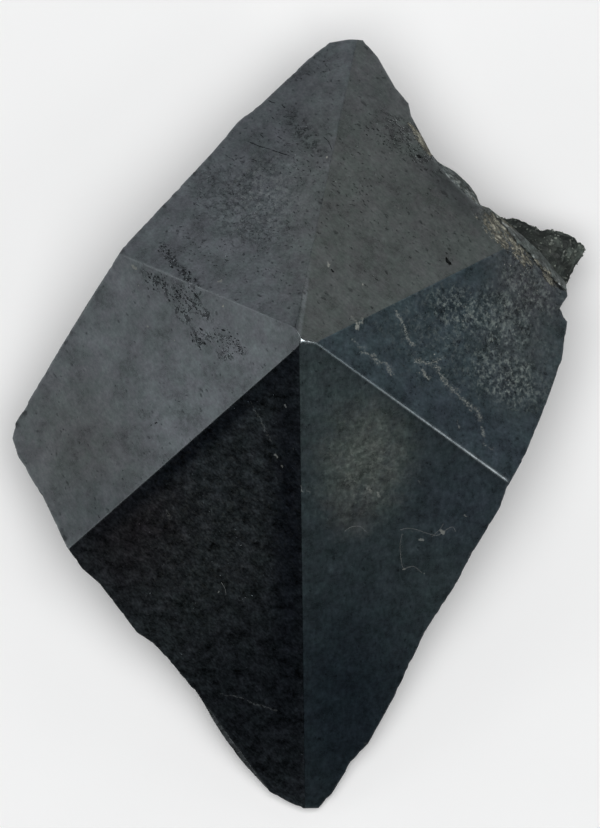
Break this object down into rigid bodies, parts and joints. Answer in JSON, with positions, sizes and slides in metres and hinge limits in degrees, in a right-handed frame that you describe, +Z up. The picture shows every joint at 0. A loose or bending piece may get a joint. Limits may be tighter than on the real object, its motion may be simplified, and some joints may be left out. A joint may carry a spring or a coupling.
{
  "type": "hematite crystal specimen",
  "caption": "Dark grey hematite crystal point with flat pyramid faces, a broken rim and base, and a small lump of rough host rock under one corner.",
  "frame": {"origin": "middle of the specimen's plan, on its flat broken base", "axes": "+Z up, away from the base and towards the crystal's point; +Y towards the top of the picture, along the specimen's length; +X to the picture's right"},
  "size_m": [0.0518, 0.0694, 0.0291],
  "materials": {
    "hematite": "Satin steel-grey to black crystal faces with fine pits and a faint brushed grain, rougher and duller on the broken sides",
    "host_rock": "Rough granular grey-green rock with small bright grains"
  },
  "bodies": {
    "root": {"crystal": "hematite", "matrix": "host_rock"}
  },
  "joints": []
}
